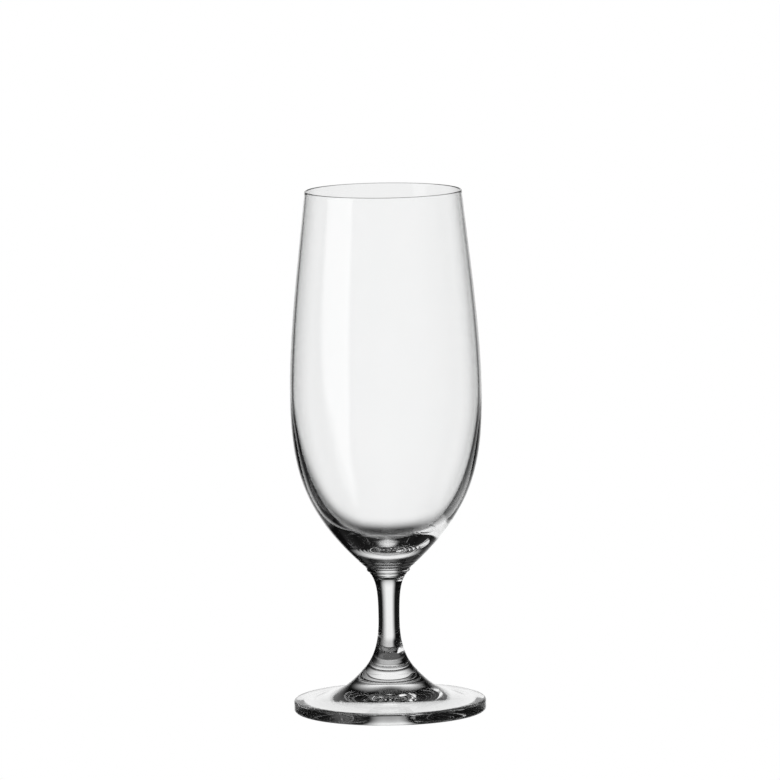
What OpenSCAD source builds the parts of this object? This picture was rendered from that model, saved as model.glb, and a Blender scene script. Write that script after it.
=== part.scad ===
// Stemmed pilsner glass, made as stemware is: a thin blown bowl, a drawn stem and a pressed foot,
// three pieces of clear glass that meet at two fused seams.
// Millimetres, +Z up, with the origin in the middle of the face that stands on the table.

/* [Bowl] */
// Height of the bowl, from its seam on the stem to the rim
bowl_h = 137.9; // [115:0.1:165]
// Outside diameter at the rim
rim_d = 57; // [46:0.1:66]
// Outside diameter at the belly, the widest part of the bowl
belly_d = 69.6; // [60:0.1:80]
// Height of the belly above the bowl's seam
belly_h = 64.3; // [52:0.1:78]
// Lean of the outside wall at the rim, in degrees from upright
rim_lean = 5.7; // [0:0.1:12]
// Lean of the outside wall at the bowl's seam, in degrees from upright
base_lean = 48.3; // [40:0.1:58]
// Wall thickness at the rim
rim_wall = 0.7; // [0.6:0.1:1.6]
// Wall thickness at the belly
belly_wall = 1.2; // [0.9:0.1:2.4]
// Glass between the bowl's seam and the lowest point inside it
bowl_floor_h = 8.5; // [5:0.1:12]

/* [Stem] */
// Height of the stem between its two seams
stem_h = 37.9; // [24:0.1:60]
// Diameter of the waist, the thinnest part of the stem
waist_d = 7.7; // [5:0.1:10]
// Height of the waist above the foot's seam
waist_h = 20; // [14:0.1:24]
// Diameter of the seam between the bowl and the stem
bowl_seam_d = 15.7; // [13:0.1:19]
// Diameter of the seam between the stem and the foot
foot_seam_d = 20.2; // [16:0.1:24]
// Lean of the stem's outside just under the bowl, in degrees from upright
stem_top_lean = 40; // [25:1:55]
// Lean of the outside where the stem runs into the foot, in degrees from upright
flare_lean = 46; // [30:1:50]
// Rounding of the bead of glass round the bowl's seam, which is twice as high
seam_bead = 0.6; // [0.3:0.05:0.8]
// Depth of the groove round the foot's seam
seam_groove = 0.1; // [0.05:0.05:0.5]

/* [Foot] */
// Diameter of the foot
foot_d = 70; // [58:0.1:84]
// Height of the foot, from the table to its seam
foot_h = 14.5; // [11:0.1:18]
// Thickness of the foot at its edge
edge_h = 4.4; // [3.8:0.1:6]
// Rounding of the foot's edge, above and below
edge_round = 1; // [0.6:0.1:1.9]
// Slope of the top of the foot at its edge, in degrees
top_slope = 5; // [1:0.5:10]
// Width of the flat ring that stands on the table, inside the foot's rounded edge
ring_w = 2.8; // [2:0.1:6]
// Depth of the hollow that the ring goes round
hollow_h = 5.3; // [3:0.1:7]

/* [Hidden] */

// Straight runs in each curve, each rounding and the whole circle
curve_steps = 40;
round_steps = 10;
circle_steps = 128;

// Pull of each curve towards the tangent at its ends, as a share of the height that the curve spans
rim_pull_share = 0.3;
belly_up_pull_share = 0.315;
belly_down_pull_share = 0.412;
base_pull_share = 0.489;
inner_belly_pull_share = 0.57;
stem_top_pull_share = 0.23;
waist_up_pull_share = 0.556;
waist_down_pull_share = 0.25;
stem_base_pull_share = 0.43;
flare_pull_share = 0.79;
// The same where the curve runs outwards, as a share of how far out it goes
floor_pull_share = 0.57;
foot_top_pull_share = 0.684;
hollow_middle_pull_share = 0.2;
hollow_ring_pull_share = 0.16;

rim_r = rim_d / 2;
belly_r = belly_d / 2;
waist_r = waist_d / 2;
bowl_seam_r = bowl_seam_d / 2;
foot_seam_r = foot_seam_d / 2;
foot_r = foot_d / 2;
hollow_r = foot_r - edge_round - ring_w;

// Heights above the table
foot_seam_z = foot_h;
waist_z = foot_seam_z + waist_h;
bowl_seam_z = foot_seam_z + stem_h;
floor_z = bowl_seam_z + bowl_floor_h;
belly_z = bowl_seam_z + belly_h;
rim_z = bowl_seam_z + bowl_h;
lip_z = rim_z - rim_wall / 2;

// A direction in the outline, leaning outwards from straight up by an angle
function leaning(angle) = [sin(angle), cos(angle)];

// One point of a cubic curve, and the whole curve from its first to its last point
function curve_point(a, b, c, d, t) =
    pow(1 - t, 3) * a + 3 * pow(1 - t, 2) * t * b + 3 * (1 - t) * t * t * c + pow(t, 3) * d;
function curve(a, b, c, d) =
    [for (i = [0:curve_steps]) curve_point(a, b, c, d, i / curve_steps)];

// An arc round a centre, between two angles in degrees
function arc(centre, r, from, to) =
    [for (i = [0:round_steps])
        let (angle = from + (to - from) * i / round_steps)
            centre + r * [cos(angle), sin(angle)]];

// A list in the other order
function reversed(list) = [for (i = [len(list) - 1:-1:0]) list[i]];

// Outside of the bowl, from its seam up to the belly and from there to the lip
bowl_base = [bowl_seam_r, bowl_seam_z];
belly = [belly_r, belly_z];
lip = [rim_r, lip_z];
upper_h = lip_z - belly_z;
bowl_outside = concat(
    curve(bowl_base, bowl_base + base_pull_share * belly_h * leaning(base_lean),
        belly - belly_down_pull_share * belly_h * leaning(0), belly),
    curve(belly, belly + belly_up_pull_share * upper_h * leaning(0),
        lip - rim_pull_share * upper_h * leaning(-rim_lean), lip));

// Inside of the bowl, from the middle of its floor up to the belly and from there to the lip
bowl_middle = [0, floor_z];
inner_belly = belly - [belly_wall, 0];
inner_lip = lip - [rim_wall, 0];
inner_belly_h = belly_z - floor_z;
bowl_inside = concat(
    curve(bowl_middle, bowl_middle + floor_pull_share * [inner_belly[0], 0],
        inner_belly - inner_belly_pull_share * inner_belly_h * leaning(0), inner_belly),
    curve(inner_belly, inner_belly + belly_up_pull_share * upper_h * leaning(0),
        inner_lip - rim_pull_share * upper_h * leaning(-rim_lean), inner_lip));

lip_round = arc(lip - [rim_wall / 2, 0], rim_wall / 2, 0, 180);

// Outside of the stem, from the groove at the foot's seam to the waist and from there to the bead
stem_base = [foot_seam_r, foot_seam_z + seam_groove];
waist = [waist_r, waist_z];
stem_top = [bowl_seam_r - seam_bead, bowl_seam_z - 2 * seam_bead];
waist_up_h = bowl_seam_z - waist_z;
stem_outside = concat(
    curve(stem_base, stem_base + stem_base_pull_share * waist_h * leaning(-flare_lean),
        waist - waist_down_pull_share * waist_h * leaning(0), waist),
    curve(waist, waist + waist_up_pull_share * waist_up_h * leaning(0),
        stem_top - stem_top_pull_share * waist_up_h * leaning(stem_top_lean), stem_top));

// The bead is rounded below and flush with the bowl above
bead = arc([bowl_seam_r - seam_bead, bowl_seam_z - seam_bead], seam_bead, -90, 0);

// Top of the foot, from the groove at its seam out to the rounded edge
edge_centre_r = foot_r - edge_round;
flare_h = foot_h - seam_groove - edge_h;
flare_top = [foot_seam_r, foot_seam_z - seam_groove];
edge_top = [edge_centre_r, edge_h - edge_round] + edge_round * leaning(top_slope);
foot_top = curve(flare_top, flare_top - flare_pull_share * flare_h * leaning(-flare_lean),
    edge_top - foot_top_pull_share * (edge_top[0] - foot_seam_r) * [cos(top_slope), -sin(top_slope)],
    edge_top);

// Rounded edge of the foot, down to the flat ring that stands on the table
foot_edge = concat(
    arc([edge_centre_r, edge_h - edge_round], edge_round, 90 - top_slope, 0),
    arc([edge_centre_r, edge_round], edge_round, 0, -90));

// Hollow under the foot, which rises from the ring to the middle as the top does
foot_hollow = curve([hollow_r, 0], [hollow_r - hollow_ring_pull_share * hollow_r, 0],
    [hollow_middle_pull_share * hollow_r, hollow_h], [0, hollow_h]);

// A closed outline turned round the glass's axis
module turned(outline) {
    rotate_extrude($fn = circle_steps) polygon(outline);
}

// Thin tulip-shaped bowl with a rounded lip and a thick floor
module bowl() {
    color("aliceblue", 0.4)
        turned(concat([[0, bowl_seam_z]], bowl_outside, lip_round, reversed(bowl_inside)));
}

// Solid stem that flares at both ends, with the bead of the bowl's seam round its top
module stem() {
    color("azure", 0.4)
        turned(concat([[0, foot_seam_z], [foot_seam_r - seam_groove, foot_seam_z]], stem_outside, bead,
            [[bowl_seam_r, bowl_seam_z], [0, bowl_seam_z]]));
}

// Round foot that rises to the stem and stands on a flat ring round a shallow hollow
module foot() {
    color("lightcyan", 0.4)
        turned(concat([[0, foot_seam_z], [foot_seam_r - seam_groove, foot_seam_z]], foot_top, foot_edge,
            foot_hollow));
}

bowl();
stem();
foot();
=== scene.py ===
"""Stemmed pilsner glass in clear glass: a blown bowl, a drawn stem and a pressed foot.

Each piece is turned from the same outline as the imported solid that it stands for, with finer steps and smooth
shading, because clear glass shows every facet, and with fine ripples round the seam under the bowl.
The studio is the one that glassware is photographed in: a soft bright field behind the glass, a tall softbox
at its left and darkness elsewhere, which draws its edges.
Outlines are in millimetres and become metres when they are turned.
"""

import math

import bmesh
import bpy
from mathutils import Matrix, Vector


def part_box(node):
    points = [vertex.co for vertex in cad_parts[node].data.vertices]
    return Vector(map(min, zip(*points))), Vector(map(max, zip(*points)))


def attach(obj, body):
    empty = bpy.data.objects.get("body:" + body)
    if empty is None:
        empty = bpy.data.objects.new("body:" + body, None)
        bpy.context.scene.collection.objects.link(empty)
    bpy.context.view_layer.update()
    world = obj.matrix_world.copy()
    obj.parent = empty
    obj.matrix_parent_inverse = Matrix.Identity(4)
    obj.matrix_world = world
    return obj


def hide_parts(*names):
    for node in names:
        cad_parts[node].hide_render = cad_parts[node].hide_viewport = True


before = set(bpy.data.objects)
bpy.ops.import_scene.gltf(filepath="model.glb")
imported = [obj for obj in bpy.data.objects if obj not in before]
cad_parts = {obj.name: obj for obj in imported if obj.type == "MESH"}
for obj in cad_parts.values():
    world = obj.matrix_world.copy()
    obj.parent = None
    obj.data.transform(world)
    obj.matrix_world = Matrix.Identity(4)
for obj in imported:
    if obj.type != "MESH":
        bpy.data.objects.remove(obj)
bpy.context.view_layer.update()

MM = 0.001
WHITE = (1, 1, 1, 1)

# Steps in each curve, each rounding and the whole circle
CURVE_STEPS = 64
ROUND_STEPS = 12
CIRCLE_STEPS = 256

# Edges sharper than this stay creased, such as the lips of the seams
CREASE_ANGLE = math.radians(32)

# Points closer than this, in millimetres, count as one, and heights closer than the second as the same seam
SAME_POINT = 1e-6
SAME_SEAM = 1e-3


def top(node):
    """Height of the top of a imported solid, in millimetres."""
    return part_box(node)[1][2] / MM


def radius(node):
    """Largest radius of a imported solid, in millimetres."""
    low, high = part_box(node)
    return (high[0] - low[0]) / MM / 2


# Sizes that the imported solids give
foot_seam_z = top("foot")
bowl_seam_z = top("stem")
rim_z = top("bowl")
belly_r = radius("bowl")
foot_seam_r = radius("stem")
foot_r = radius("foot")

# Bowl
RIM_R = 28.5
BELLY_H = 64.3
RIM_LEAN = 5.7
BASE_LEAN = 48.3
RIM_WALL = 0.7
BELLY_WALL = 1.2
BOWL_FLOOR_H = 8.5

# Stem
WAIST_R = 3.85
WAIST_H = 20
BOWL_SEAM_R = 7.85
STEM_TOP_LEAN = 40
FLARE_LEAN = 46
SEAM_BEAD = 0.6
SEAM_GROOVE = 0.1

# Ripples that ring the glass on both sides of the bowl's seam, where it was worked: their spacing, depth and
# reach from the seam, and the distance between the outline's points there
RIPPLE_PITCH = 2 * SEAM_BEAD
RIPPLE_DEPTH = 0.06
RIPPLE_REACH = 4.5
RIPPLE_STEP = 0.1

# Foot
EDGE_H = 4.4
EDGE_ROUND = 1
TOP_SLOPE = 5
RING_W = 2.8
HOLLOW_H = 5.3

# Pull of each curve towards the tangent at its ends, as a share of the length that the curve spans
RIM_PULL_SHARE = 0.3
BELLY_UP_PULL_SHARE = 0.315
BELLY_DOWN_PULL_SHARE = 0.412
BASE_PULL_SHARE = 0.489
INNER_BELLY_PULL_SHARE = 0.57
FLOOR_PULL_SHARE = 0.57
STEM_TOP_PULL_SHARE = 0.23
WAIST_UP_PULL_SHARE = 0.556
WAIST_DOWN_PULL_SHARE = 0.25
STEM_BASE_PULL_SHARE = 0.43
FLARE_PULL_SHARE = 0.79
FOOT_TOP_PULL_SHARE = 0.684
HOLLOW_MIDDLE_PULL_SHARE = 0.2
HOLLOW_RING_PULL_SHARE = 0.16


# Outlines

def at(r, z):
    """A point of an outline: its distance from the glass's axis and its height."""
    return Vector((r, z))


def leaning(angle):
    """A direction in the outline that leans outwards from straight up by an angle in degrees."""
    return at(math.sin(math.radians(angle)), math.cos(math.radians(angle)))


def curve(a, b, c, d):
    """A cubic curve from a to d, pulled towards b and c."""
    points = []
    for i in range(CURVE_STEPS + 1):
        t = i / CURVE_STEPS
        s = 1 - t
        points.append(s ** 3 * a + 3 * s * s * t * b + 3 * s * t * t * c + t ** 3 * d)
    return points


def arc(centre, r, start, end, steps=ROUND_STEPS):
    """An arc round a centre, between two angles in degrees."""
    angles = [math.radians(start + (end - start) * i / steps) for i in range(steps + 1)]
    return [centre + r * at(math.cos(a), math.sin(a)) for a in angles]


def ripple(height):
    """How far the glass stands out at a height above the bowl's seam: a wave that dies away from the seam."""
    if abs(height) > RIPPLE_REACH:
        return 0
    fade = math.cos(math.pi / 2 * height / RIPPLE_REACH)
    return RIPPLE_DEPTH * fade * math.sin(math.tau * height / RIPPLE_PITCH)


def rippled(points):
    """The points of an outside wall, with the ripples round the bowl's seam."""
    finer = points[:1]
    for low, high in zip(points, points[1:]):
        near = abs(high.y - bowl_seam_z) < RIPPLE_REACH
        steps = math.ceil((high - low).length / RIPPLE_STEP) if near else 1
        finer += [low.lerp(high, i / steps) for i in range(1, steps + 1)]
    return [point + at(ripple(point.y - bowl_seam_z), 0) for point in finer]


def bowl_wall(base, belly, lip, base_pull, belly_down_pull):
    """One side of the bowl's wall, from its base past the belly to the lip."""
    upper_h = lip.y - belly.y
    below = curve(base, base + base_pull, belly - belly_down_pull * leaning(0), belly)
    above = curve(belly, belly + BELLY_UP_PULL_SHARE * upper_h * leaning(0),
                  lip - RIM_PULL_SHARE * upper_h * leaning(-RIM_LEAN), lip)
    return below + above


def bowl_outline():
    """Thin tulip bowl with a rounded lip and a thick floor."""
    belly = at(belly_r, bowl_seam_z + BELLY_H)
    lip = at(RIM_R, rim_z - RIM_WALL / 2)
    outside = bowl_wall(at(BOWL_SEAM_R, bowl_seam_z), belly, lip,
                        BASE_PULL_SHARE * BELLY_H * leaning(BASE_LEAN), BELLY_DOWN_PULL_SHARE * BELLY_H)
    lip_round = arc(lip - at(RIM_WALL / 2, 0), RIM_WALL / 2, 0, 180, steps=2 * ROUND_STEPS)
    inner_belly = belly - at(BELLY_WALL, 0)
    inner_h = BELLY_H - BOWL_FLOOR_H
    inside = bowl_wall(at(0, bowl_seam_z + BOWL_FLOOR_H), inner_belly, lip - at(RIM_WALL, 0),
                       FLOOR_PULL_SHARE * at(inner_belly.x, 0), INNER_BELLY_PULL_SHARE * inner_h)
    return [at(0, bowl_seam_z)] + rippled(outside) + lip_round + inside[::-1]


def stem_outline():
    """Solid stem that flares at both ends. The bead round its top is flush with the bowl."""
    base = at(foot_seam_r, foot_seam_z + SEAM_GROOVE)
    waist = at(WAIST_R, foot_seam_z + WAIST_H)
    bead_bottom = at(BOWL_SEAM_R - SEAM_BEAD, bowl_seam_z - 2 * SEAM_BEAD)
    up_h = bowl_seam_z - waist.y
    below = curve(base, base + STEM_BASE_PULL_SHARE * WAIST_H * leaning(-FLARE_LEAN),
                  waist - WAIST_DOWN_PULL_SHARE * WAIST_H * leaning(0), waist)
    above = curve(waist, waist + WAIST_UP_PULL_SHARE * up_h * leaning(0),
                  bead_bottom - STEM_TOP_PULL_SHARE * up_h * leaning(STEM_TOP_LEAN), bead_bottom)
    bead = arc(bead_bottom + at(0, SEAM_BEAD), SEAM_BEAD, -90, 0)
    groove = at(foot_seam_r - SEAM_GROOVE, foot_seam_z)
    seam = [at(BOWL_SEAM_R, bowl_seam_z), at(0, bowl_seam_z)]
    return [at(0, foot_seam_z), groove] + below + rippled(above) + bead + seam


def foot_outline():
    """Round foot that rises to the stem and stands on a flat ring round a hollow."""
    edge_r = foot_r - EDGE_ROUND
    flare_h = foot_seam_z - SEAM_GROOVE - EDGE_H
    flare_top = at(foot_seam_r, foot_seam_z - SEAM_GROOVE)
    edge_top = at(edge_r, EDGE_H - EDGE_ROUND) + EDGE_ROUND * leaning(TOP_SLOPE)
    outwards = leaning(90 + TOP_SLOPE)
    slope = curve(flare_top, flare_top - FLARE_PULL_SHARE * flare_h * leaning(-FLARE_LEAN),
                  edge_top - FOOT_TOP_PULL_SHARE * (edge_top.x - foot_seam_r) * outwards, edge_top)
    edge = arc(at(edge_r, EDGE_H - EDGE_ROUND), EDGE_ROUND, 90 - TOP_SLOPE, 0)
    under_edge = arc(at(edge_r, EDGE_ROUND), EDGE_ROUND, 0, -90)
    hollow_r = edge_r - RING_W
    hollow = curve(at(hollow_r, 0), at(hollow_r - HOLLOW_RING_PULL_SHARE * hollow_r, 0),
                   at(HOLLOW_MIDDLE_PULL_SHARE * hollow_r, HOLLOW_H), at(0, HOLLOW_H))
    groove = at(foot_seam_r - SEAM_GROOVE, foot_seam_z)
    return [at(0, foot_seam_z), groove] + slope + edge + under_edge + hollow


# Meshes

def add_object(name, data):
    """A new object in the scene."""
    thing = bpy.data.objects.new(name, data)
    bpy.context.scene.collection.objects.link(thing)
    return thing


def without_repeats(outline):
    """The outline's points, each once, with the points on the axis exactly on it."""
    kept = []
    for point in outline:
        clean = point if point.x > SAME_POINT else at(0, point.y)
        if not kept or (clean - kept[-1]).length > SAME_POINT:
            kept.append(clean)
    return kept


def turned_point(mesh, point):
    """The vertices of one point of an outline, turned round the axis: one on the axis, or a whole circle."""
    if point.x == 0:
        return [mesh.verts.new((0, 0, point.y * MM))]
    vertices = []
    for i in range(CIRCLE_STEPS):
        turn = math.tau * i / CIRCLE_STEPS
        corner = (point.x * math.cos(turn) * MM, point.x * math.sin(turn) * MM, point.y * MM)
        vertices.append(mesh.verts.new(corner))
    return vertices


def is_seam(low, high):
    """Whether a stretch of outline is level and at one of the two seams."""
    return low.y == high.y and any(abs(low.y - z) < SAME_SEAM for z in (foot_seam_z, bowl_seam_z))


def turned(name, outline, glass, seam_glass):
    """A closed outline turned round the glass's axis. Its flat faces at the seams get the fused glass."""
    mesh = bmesh.new()
    points = without_repeats(outline)
    rings = [turned_point(mesh, point) for point in points]
    for below, above, low, high in zip(rings, rings[1:], points, points[1:]):
        material_index = int(is_seam(low, high))
        for i in range(CIRCLE_STEPS):
            j = (i + 1) % CIRCLE_STEPS
            corners = [below[i % len(below)], below[j % len(below)],
                       above[j % len(above)], above[i % len(above)]]
            face = mesh.faces.new(dict.fromkeys(corners))
            face.smooth = True
            face.material_index = material_index
    bmesh.ops.recalc_face_normals(mesh, faces=mesh.faces)
    data = bpy.data.meshes.new(name)
    mesh.to_mesh(data)
    mesh.free()
    data.set_sharp_from_angle(angle=CREASE_ANGLE)
    data.materials.append(glass)
    data.materials.append(seam_glass)
    return add_object(name, data)


# Materials

GLASS_IOR = 1.52


def add_node(tree, kind, **settings):
    """A new node, with its inputs set by name."""
    node = tree.nodes.new(kind)
    for key, value in settings.items():
        node.inputs[key.replace("_", " ")].default_value = value
    return node


def clear_glass(name, tint, grain, striae_depth):
    """Clear glass with faint striae, smudges and tint that vary over the surface. The depth is in metres."""
    material = bpy.data.materials.new(name)
    material.use_nodes = True
    tree = material.node_tree
    shader = tree.nodes["Principled BSDF"]
    shader.inputs["Transmission Weight"].default_value = 1
    shader.inputs["IOR"].default_value = GLASS_IOR
    coordinates = add_node(tree, "ShaderNodeTexCoord")
    stretch = add_node(tree, "ShaderNodeMapping", Scale=grain)
    striae = add_node(tree, "ShaderNodeTexNoise", Scale=1, Detail=2, Roughness=0.4)
    bump = add_node(tree, "ShaderNodeBump", Strength=1, Distance=striae_depth)
    smudge = add_node(tree, "ShaderNodeTexNoise", Scale=55, Detail=3)
    dull = add_node(tree, "ShaderNodeMapRange", From_Min=0.55, From_Max=0.8, To_Min=0, To_Max=0.012)
    colour = add_node(tree, "ShaderNodeValToRGB")
    colour.color_ramp.elements[0].color = (*tint, 1)
    colour.color_ramp.elements[1].color = WHITE
    tree.links.new(coordinates.outputs["Object"], stretch.inputs["Vector"])
    tree.links.new(stretch.outputs["Vector"], striae.inputs["Vector"])
    tree.links.new(striae.outputs["Fac"], bump.inputs["Height"])
    tree.links.new(bump.outputs["Normal"], shader.inputs["Normal"])
    tree.links.new(coordinates.outputs["Object"], smudge.inputs["Vector"])
    tree.links.new(smudge.outputs["Fac"], dull.inputs["Value"])
    tree.links.new(dull.outputs["Result"], shader.inputs["Roughness"])
    tree.links.new(smudge.outputs["Fac"], colour.inputs["Fac"])
    tree.links.new(colour.outputs["Color"], shader.inputs["Base Color"])
    return material


def bowl_glass():
    """Blown glass: thin, with long soft waves down the wall."""
    return clear_glass("bowl_glass", tint=(0.985, 0.99, 0.99), grain=(30, 30, 9), striae_depth=0.00004)


def stem_glass():
    """Drawn glass: solid, with fine lines along the pull."""
    return clear_glass("stem_glass", tint=(0.98, 0.985, 0.985), grain=(160, 160, 20), striae_depth=0.00001)


def foot_glass():
    """Pressed and fire-polished glass: soft ripples in every direction."""
    return clear_glass("foot_glass", tint=(0.98, 0.985, 0.985), grain=(60, 60, 60), striae_depth=0.000004)


def bare_material(name):
    """A new material with nothing but its output: the material, its node tree and its surface socket."""
    material = bpy.data.materials.new(name)
    material.use_nodes = True
    tree = material.node_tree
    tree.nodes.remove(tree.nodes["Principled BSDF"])
    return material, tree, tree.nodes["Material Output"].inputs["Surface"]


def fused_seam():
    """The glass of two pieces that has run together: nothing shows where they meet."""
    material, tree, surface = bare_material("fused_seam")
    clear = tree.nodes.new("ShaderNodeBsdfTransparent")
    tree.links.new(clear.outputs["BSDF"], surface)
    return material


# Pieces

def place(piece, node):
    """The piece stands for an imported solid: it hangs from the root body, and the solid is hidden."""
    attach(piece, "root")
    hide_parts(node)


seam_glass = fused_seam()
place(turned("blown_bowl", bowl_outline(), bowl_glass(), seam_glass), "bowl")
place(turned("drawn_stem", stem_outline(), stem_glass(), seam_glass), "stem")
place(turned("pressed_foot", foot_outline(), foot_glass(), seam_glass), "foot")


# Camera: its sensor and lens in millimetres, its place, reach and distance from the glass in metres, and how
# far it looks down and leans in degrees

SENSOR_W = 36
LENS = 339.1
CAMERA_PLACE = (0.00152, -2.6434, 0.4504)
CAMERA_REACH = 20
CAMERA_TO_GLASS = 2.664
CAMERA_DOWN = 7.178
CAMERA_ROLL = -0.8


def make_camera():
    """The photograph's long lens, a little above the glass and turned slightly clockwise."""
    data = bpy.data.cameras.new("camera")
    data.sensor_width = SENSOR_W
    data.lens = LENS
    data.clip_end = CAMERA_REACH
    camera = add_object("camera", data)
    tilt = Matrix.Rotation(math.radians(90 - CAMERA_DOWN), 4, "X")
    roll = Matrix.Rotation(math.radians(CAMERA_ROLL), 4, "Z")
    camera.matrix_world = Matrix.Translation(CAMERA_PLACE) @ tilt @ roll
    bpy.context.scene.camera = camera
    return camera


# Arithmetic in a node tree

class Amount:
    """A number that a node tree works out, so that sums with it are written as plain arithmetic."""

    def __init__(self, socket):
        self.socket = socket
        self.tree = socket.id_data

    def math(self, operation, *others):
        """What a Math node makes of this amount and the others."""
        node = self.tree.nodes.new("ShaderNodeMath")
        node.operation = operation
        for slot, value in zip(node.inputs, (self, *others)):
            if isinstance(value, Amount):
                self.tree.links.new(value.socket, slot)
            else:
                slot.default_value = value
        return Amount(node.outputs[0])

    def __add__(self, other):
        return self.math("ADD", other)

    def __sub__(self, other):
        return self.math("SUBTRACT", other)

    def __mul__(self, other):
        return self.math("MULTIPLY", other)

    __radd__ = __add__
    __rmul__ = __mul__

    def __neg__(self):
        return self * -1

    def __rsub__(self, other):
        return -self + other

    def __abs__(self):
        return self.math("ABSOLUTE")

    def past(self, start):
        """How far the amount is above a start, and zero below it."""
        return (self - start).math("MAXIMUM", 0)

    def up_to(self, end):
        """The amount itself below an end, and the end above it."""
        return self.math("MINIMUM", end)


def bell(amount, width):
    """One where the amount is zero, falling off smoothly on both sides."""
    off = amount.math("DIVIDE", width)
    return (off * off * -0.5).math("EXPONENT")


def step(amount, edge, softness):
    """Zero below the edge and one above it, with a soft change between."""
    node = add_node(amount.tree, "ShaderNodeMapRange", From_Min=edge - softness, From_Max=edge + softness)
    node.interpolation_type = "SMOOTHSTEP"
    amount.tree.links.new(amount.socket, node.inputs["Value"])
    return Amount(node.outputs["Result"])


def between(amount, low, high, softness):
    """One between two edges and zero outside them, with a soft change at each."""
    return step(amount, low, softness) - step(amount, high, softness)


# Studio: bearings are in degrees to the right of the lens's line of sight, and heights in degrees above it,
# both seen from the glass

FLOOR_HALF = 3
DOME_R = 25

# Strength of each light on solid glass, as a share of the white floor's
FIELD = 0.95
FAR_TABLE = 0.62
CLOSE_TABLE = 0.5
UNDER_FOOT = 0.1
LENS_SIDE = 0.1

# The same through both walls of the bowl
WALL_FIELD = 0.9
WALL_FIELD_MIDDLE = 0.16
WALL_TABLE = 0.15
WALL_WINGS = 0.6

# What the dark walls still give back
DARK_WALLS = 0.004

# Share of the dome's radius, towards the lens, at which the light of the lens's side begins
LENS_SIDE_START = 0.6

# Where the lit field ends and the table begins, and how soft that edge is
TABLE_EDGE = -14.5
TABLE_EDGE_SOFTNESS = 3.5

# Light that has passed more glass faces than this has come through both walls of the bowl
FACES_INTO_SECOND_WALL = 3


def bright_field(side, height):
    """The lit wall behind the glass, which fades out upwards."""
    across = step(side, edge=-17.5, softness=9) - step(side, edge=18, softness=13)
    upwards = bell(height.past(start=10), width=18) * step(height, TABLE_EDGE, TABLE_EDGE_SOFTNESS)
    return FIELD * across * upwards


def lit_table(side, height):
    """The table: a narrow far part, a broad close part and what comes from under the foot."""
    far_across = step(side, edge=-12, softness=6) * bell(side.past(start=6), width=12)
    far = far_across * between(height, low=-34, high=TABLE_EDGE, softness=TABLE_EDGE_SOFTNESS)
    close_middle = 3
    close = bell(side - close_middle, width=26) * between(height, low=-54, high=-36, softness=5)
    under = step(-height, edge=57, softness=6)
    return FAR_TABLE * far + CLOSE_TABLE * close + UNDER_FOOT * under


def tall_softbox(side, height):
    """The softbox at the left of the lens. Both its edges slant in below the line of sight."""
    depth = (-height).past(start=0)
    near_slant = 0.35 * depth.past(start=14)
    far_slant = depth.up_to(end=17)
    near = step(side - near_slant, edge=-134, softness=3)
    far = step(side + far_slant, edge=-92, softness=5)
    return (near - far) * between(height, low=-55, high=55, softness=5)


def wall_light(side, height):
    """What shows through both walls of the bowl: the lit field, some of the table and a wing at each side."""
    across = WALL_FIELD * between(side, low=-30, high=32, softness=14)
    middle = WALL_FIELD_MIDDLE * bell(side, width=20)
    left_slant = 0.8 * (-side).past(start=3)
    field = (across + middle) * step(height - left_slant, edge=-20.5, softness=8)
    table = between(side, low=6, high=28, softness=6) * between(height, low=-48, high=-20, softness=4)
    wings = between(abs(side), low=36, high=75, softness=12) * between(height, low=-25, high=25, softness=8)
    return field + WALL_TABLE * table + WALL_WINGS * wings


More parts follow.
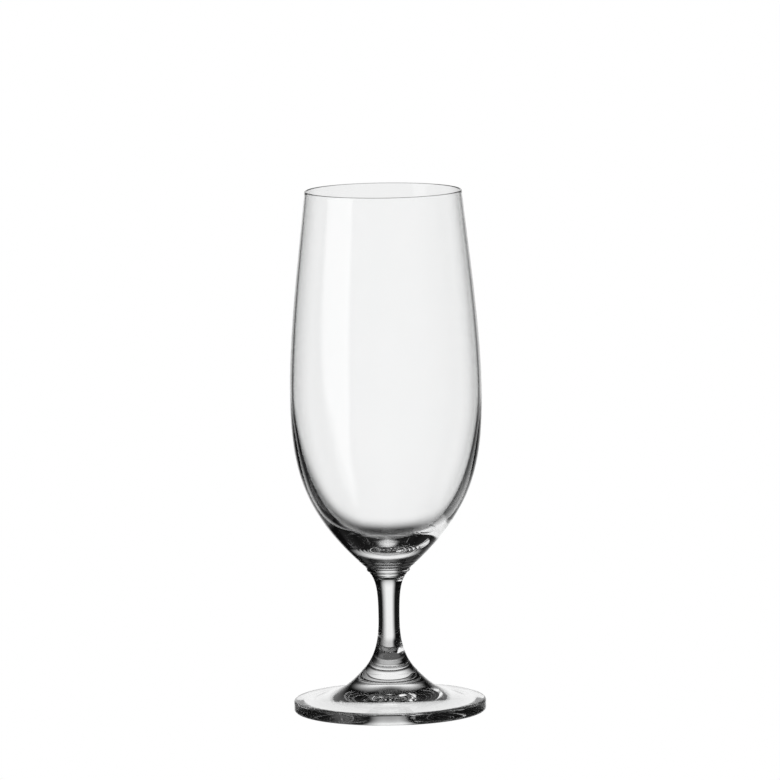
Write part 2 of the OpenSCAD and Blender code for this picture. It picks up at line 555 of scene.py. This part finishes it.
def studio_light():
    """The light on the dome. What comes through both walls of the bowl is set apart from the rest."""
    material, tree, surface = bare_material("studio_light")
    material.cycles.emission_sampling = "NONE"
    coordinates = tree.nodes.new("ShaderNodeTexCoord")
    unit = tree.nodes.new("ShaderNodeVectorMath")
    unit.operation = "NORMALIZE"
    tree.links.new(coordinates.outputs["Object"], unit.inputs[0])
    parts = tree.nodes.new("ShaderNodeSeparateXYZ")
    tree.links.new(unit.outputs["Vector"], parts.inputs["Vector"])
    right, up, back = [Amount(parts.outputs[axis]) for axis in "XYZ"]
    side = right.math("ARCTAN2", -back).math("DEGREES")
    height = up.math("ARCSINE").math("DEGREES")
    lens_side = LENS_SIDE * back.math("GREATER_THAN", LENS_SIDE_START)
    solid = bright_field(side, height) + lit_table(side, height) + tall_softbox(side, height) + lens_side
    path = tree.nodes.new("ShaderNodeLightPath")
    through_walls = Amount(path.outputs["Transmission Depth"]).math("GREATER_THAN", FACES_INTO_SECOND_WALL)
    light = solid * (1 - through_walls) + wall_light(side, height) * through_walls + DARK_WALLS
    glow = add_node(tree, "ShaderNodeEmission", Color=WHITE)
    tree.links.new(light.socket, glow.inputs["Strength"])
    tree.links.new(glow.outputs["Emission"], surface)
    return material


def make_dome(camera):
    """The studio's walls, fixed to the camera as on a turntable set: both turn round the glass together."""
    mesh = bmesh.new()
    bmesh.ops.create_icosphere(mesh, subdivisions=4, radius=DOME_R)
    data = bpy.data.meshes.new("dome")
    mesh.to_mesh(data)
    mesh.free()
    data.materials.append(studio_light())
    dome = add_object("dome", data)
    dome.parent = camera
    dome.location = (0, 0, -CAMERA_TO_GLASS)
    dome.visible_camera = False


def white_floor():
    """Evenly lit white, for the lens alone."""
    material, tree, surface = bare_material("white_floor")
    glow = add_node(tree, "ShaderNodeEmission", Color=WHITE, Strength=1)
    tree.links.new(glow.outputs["Emission"], surface)
    return material


def make_floor():
    """A plain white floor that runs into the white background, as in the photograph."""
    data = bpy.data.meshes.new("floor")
    half = FLOOR_HALF
    corners = [(-half, -half, 0), (half, -half, 0), (half, half, 0), (-half, half, 0)]
    data.from_pydata(corners, [], [(0, 1, 2, 3)])
    data.materials.append(white_floor())
    floor = add_object("floor", data)
    floor.visible_diffuse = False
    floor.visible_glossy = False
    floor.visible_transmission = False
    floor.visible_shadow = False


def make_backdrop():
    """White behind the glass, for the lens alone."""
    world = bpy.data.worlds.new("backdrop")
    world.use_nodes = True
    bpy.context.scene.world = world
    tree = world.node_tree
    path = tree.nodes.new("ShaderNodeLightPath")
    tree.links.new(path.outputs["Is Camera Ray"], tree.nodes["Background"].inputs["Strength"])
    tree.nodes["Background"].inputs["Color"].default_value = WHITE


make_floor()
make_backdrop()
make_dome(make_camera())

# Light passes many faces of solid glass before it gets out
GLASS_BOUNCES = 32

scene = bpy.context.scene
scene.view_settings.view_transform = "Standard"
scene.cycles.max_bounces = GLASS_BOUNCES
scene.cycles.transmission_bounces = GLASS_BOUNCES
scene.cycles.glossy_bounces = GLASS_BOUNCES
scene.cycles.transparent_max_bounces = GLASS_BOUNCES
